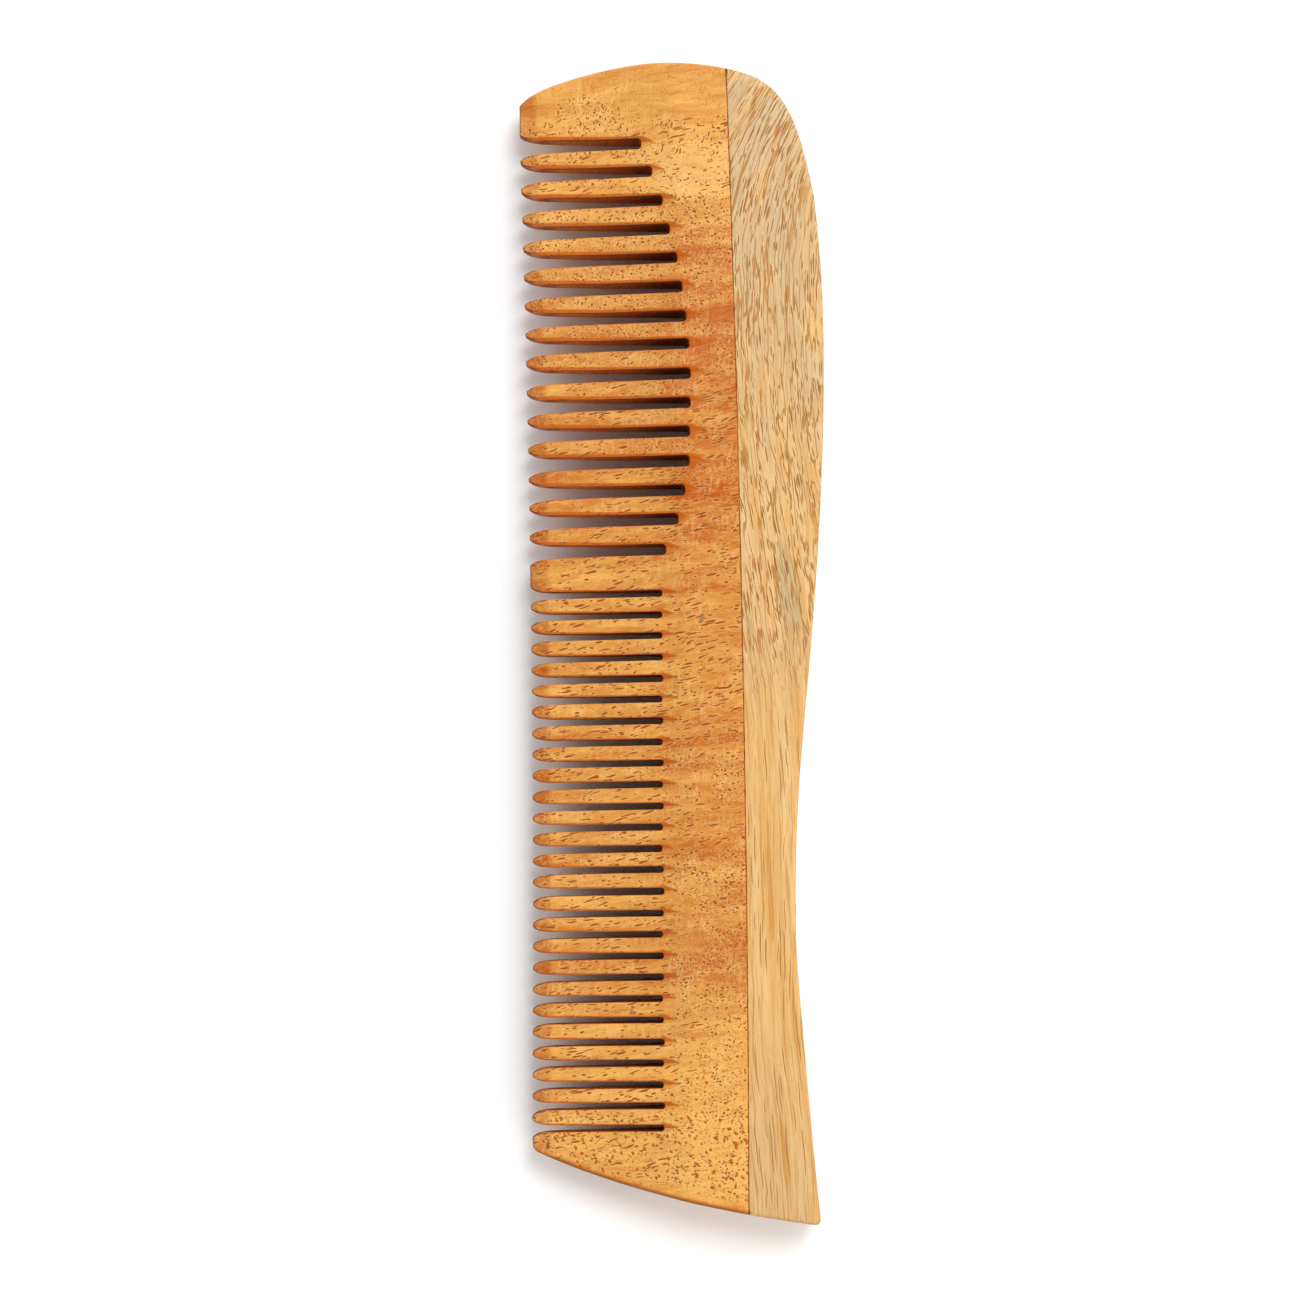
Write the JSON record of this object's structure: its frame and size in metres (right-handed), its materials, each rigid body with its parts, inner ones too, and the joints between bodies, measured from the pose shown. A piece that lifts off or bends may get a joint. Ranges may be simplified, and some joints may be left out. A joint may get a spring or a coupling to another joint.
{
  "type": "wooden dressing comb",
  "caption": "Two-board wooden comb with a coarse half and a fine half of sawn teeth, blunt guards at the ends, and a wavy spine glued on as a handle edge.",
  "frame": {"origin": "middle of the comb's box in X and Y, on the plane of its flat back", "axes": "+X from the tooth tips to the spine, +Y along the comb to the rounded end over the coarse teeth, +Z out of the upper face"},
  "size_m": [0.0496, 0.19, 0.009],
  "materials": {
    "tooth_wood": "sanded and oiled, satin; grain along the teeth",
    "spine_wood": "sanded and oiled, satin; grain along the comb",
    "glue": "thin dark line of dried wood glue"
  },
  "bodies": {
    "root": {"tooth_plate": "tooth_wood", "top_guard": "tooth_wood", "coarse_tooth_01": "tooth_wood", "coarse_tooth_02": "tooth_wood", "coarse_tooth_03": "tooth_wood", "coarse_tooth_04": "tooth_wood", "coarse_tooth_05": "tooth_wood", "coarse_tooth_06": "tooth_wood", "coarse_tooth_07": "tooth_wood", "coarse_tooth_08": "tooth_wood", "coarse_tooth_09": "tooth_wood", "coarse_tooth_10": "tooth_wood", "coarse_tooth_11": "tooth_wood", "coarse_tooth_12": "tooth_wood", "coarse_tooth_13": "tooth_wood", "coarse_tooth_14": "tooth_wood", "middle_guard": "tooth_wood", "fine_tooth_01": "tooth_wood", "fine_tooth_02": "tooth_wood", "fine_tooth_03": "tooth_wood", "fine_tooth_04": "tooth_wood", "fine_tooth_05": "tooth_wood", "fine_tooth_06": "tooth_wood", "fine_tooth_07": "tooth_wood", "fine_tooth_08": "tooth_wood", "fine_tooth_09": "tooth_wood", "fine_tooth_10": "tooth_wood", "fine_tooth_11": "tooth_wood", "fine_tooth_12": "tooth_wood", "fine_tooth_13": "tooth_wood", "fine_tooth_14": "tooth_wood", "fine_tooth_15": "tooth_wood", "fine_tooth_16": "tooth_wood", "fine_tooth_17": "tooth_wood", "fine_tooth_18": "tooth_wood", "fine_tooth_19": "tooth_wood", "fine_tooth_20": "tooth_wood", "fine_tooth_21": "tooth_wood", "fine_tooth_22": "tooth_wood", "fine_tooth_23": "tooth_wood", "fine_tooth_24": "tooth_wood", "fine_tooth_25": "tooth_wood", "bottom_guard": "tooth_wood", "glue_film": "glue", "spine": "spine_wood"}
  },
  "joints": []
}
